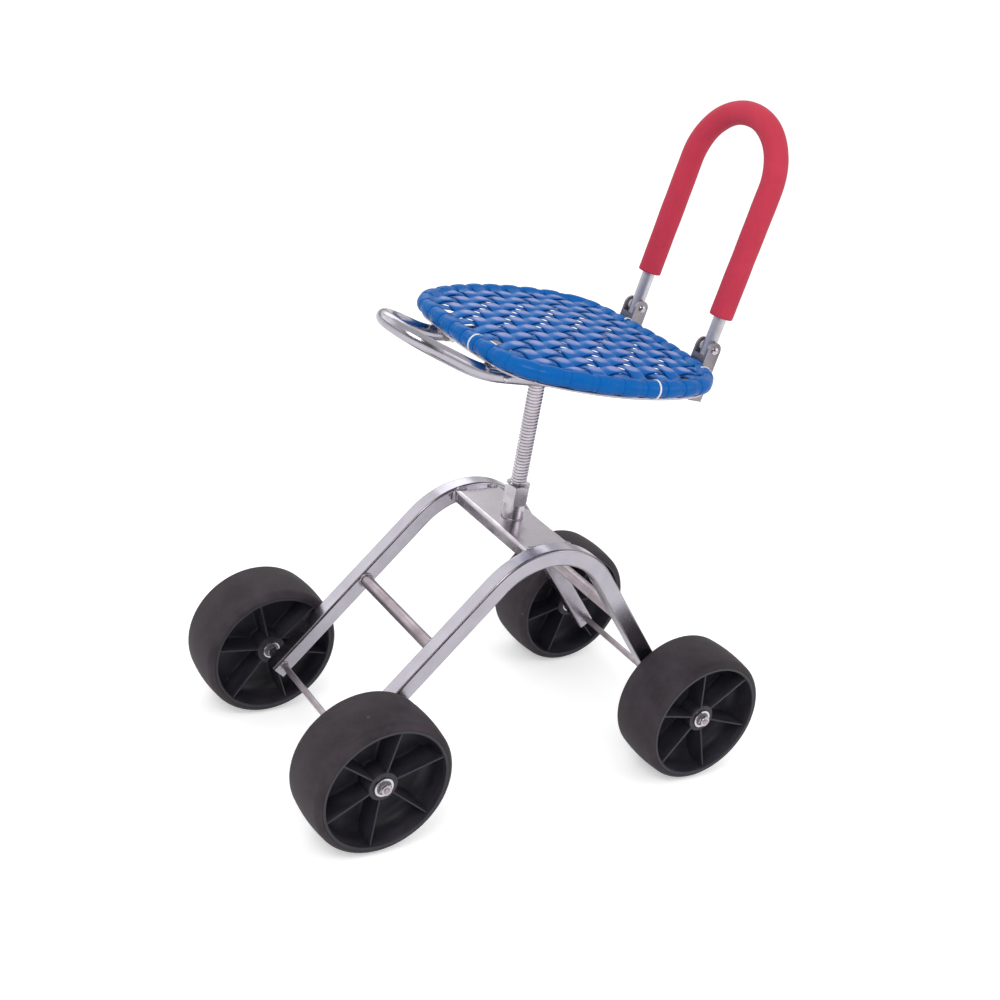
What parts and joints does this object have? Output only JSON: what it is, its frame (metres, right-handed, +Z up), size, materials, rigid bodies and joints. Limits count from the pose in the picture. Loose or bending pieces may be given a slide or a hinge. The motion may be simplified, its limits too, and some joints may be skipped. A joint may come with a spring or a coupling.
{
  "type": "rolling garden seat",
  "caption": "Low rolling garden seat: woven seat on a height-adjusting screw, tube frame on wide wheels, and a fold-down padded handle.",
  "frame": {"origin": "on the ground, midway between the two axles and midway between the left and right wheels", "axes": "+Z up, +X towards the rear, where the handle stands, +Y towards the right side of someone who sits facing the bow's nose"},
  "size_m": [0.647, 0.387, 0.8395],
  "materials": {
    "chromed_tube": "polished",
    "plated_steel": "zinc plated",
    "bare_steel": "satin",
    "tyre": "matt",
    "hub": "satin",
    "blue_strip": "glossy",
    "white_plastic": "satin",
    "foam": "matt"
  },
  "bodies": {
    "frame": {"left_arch": "chromed_tube", "right_arch": "chromed_tube", "top_plate": "plated_steel", "front_cross_bar": "chromed_tube", "rear_cross_bar": "chromed_tube", "socket_tube": "plated_steel", "thread_nut": "plated_steel", "front_axle": "bare_steel", "rear_axle": "bare_steel", "axle_bushes": "plated_steel", "axle_washers": "plated_steel", "axle_nuts": "plated_steel"},
    "front_left_wheel": {"front_left_tyre": "tyre", "front_left_hub": "hub", "front_left_bearings": "plated_steel"},
    "front_right_wheel": {"front_right_tyre": "tyre", "front_right_hub": "hub", "front_right_bearings": "plated_steel"},
    "rear_left_wheel": {"rear_left_tyre": "tyre", "rear_left_hub": "hub", "rear_left_bearings": "plated_steel"},
    "rear_right_wheel": {"rear_right_tyre": "tyre", "rear_right_hub": "hub", "rear_right_bearings": "plated_steel"},
    "lift": {"stop_washer": "plated_steel"},
    "seat": {"stop_bolt": "plated_steel", "lift_screw": "bare_steel", "mount_plate": "bare_steel", "bow_frame": "chromed_tube", "seat_ring": "bare_steel", "rim_wrap": "blue_strip", "rim_hoop": "bare_steel", "seat_weave": "blue_strip", "rim_ties": "white_plastic", "seat_lugs": "bare_steel", "seat_bolts": "plated_steel", "seat_nuts": "plated_steel", "left_bracket": "bare_steel", "right_bracket": "bare_steel", "pivot_bolts": "plated_steel", "pivot_nuts": "plated_steel"},
    "handle": {"handle_tube": "chromed_tube", "handle_washers": "white_plastic", "foam_grip": "foam"}
  },
  "joints": [
    {"name": "front_left_spin", "type": "hinge", "parent": "frame", "child": "front_left_wheel", "pos_m": [-0.2335, -0.1535, 0.09], "axis": [0, 1, 0], "continuous": true},
    {"name": "front_right_spin", "type": "hinge", "parent": "frame", "child": "front_right_wheel", "pos_m": [-0.2335, 0.1535, 0.09], "axis": [0, 1, 0], "continuous": true},
    {"name": "rear_left_spin", "type": "hinge", "parent": "frame", "child": "rear_left_wheel", "pos_m": [0.2335, -0.1535, 0.09], "axis": [0, 1, 0], "continuous": true},
    {"name": "rear_right_spin", "type": "hinge", "parent": "frame", "child": "rear_right_wheel", "pos_m": [0.2335, 0.1535, 0.09], "axis": [0, 1, 0], "continuous": true},
    {"name": "lift", "type": "slide", "parent": "frame", "child": "lift", "axis": [0, 0, 1], "range_m": [-0.136, 0.024]},
    {"name": "seat_turn", "type": "hinge", "parent": "lift", "child": "seat", "pos_m": [0.01, 0, 0.53], "axis": [0, 0, 1], "range_deg": [-12240, 2160]},
    {"name": "handle_fold", "type": "hinge", "parent": "seat", "child": "handle", "pos_m": [0.19811, 0, 0.55999], "axis": [0, 1, 0], "range_deg": [-90, 0]}
  ],
  "couplings": [
    {"joint": "lift", "follows": "seat_turn", "m_per_rad": 0.0006366}
  ]
}
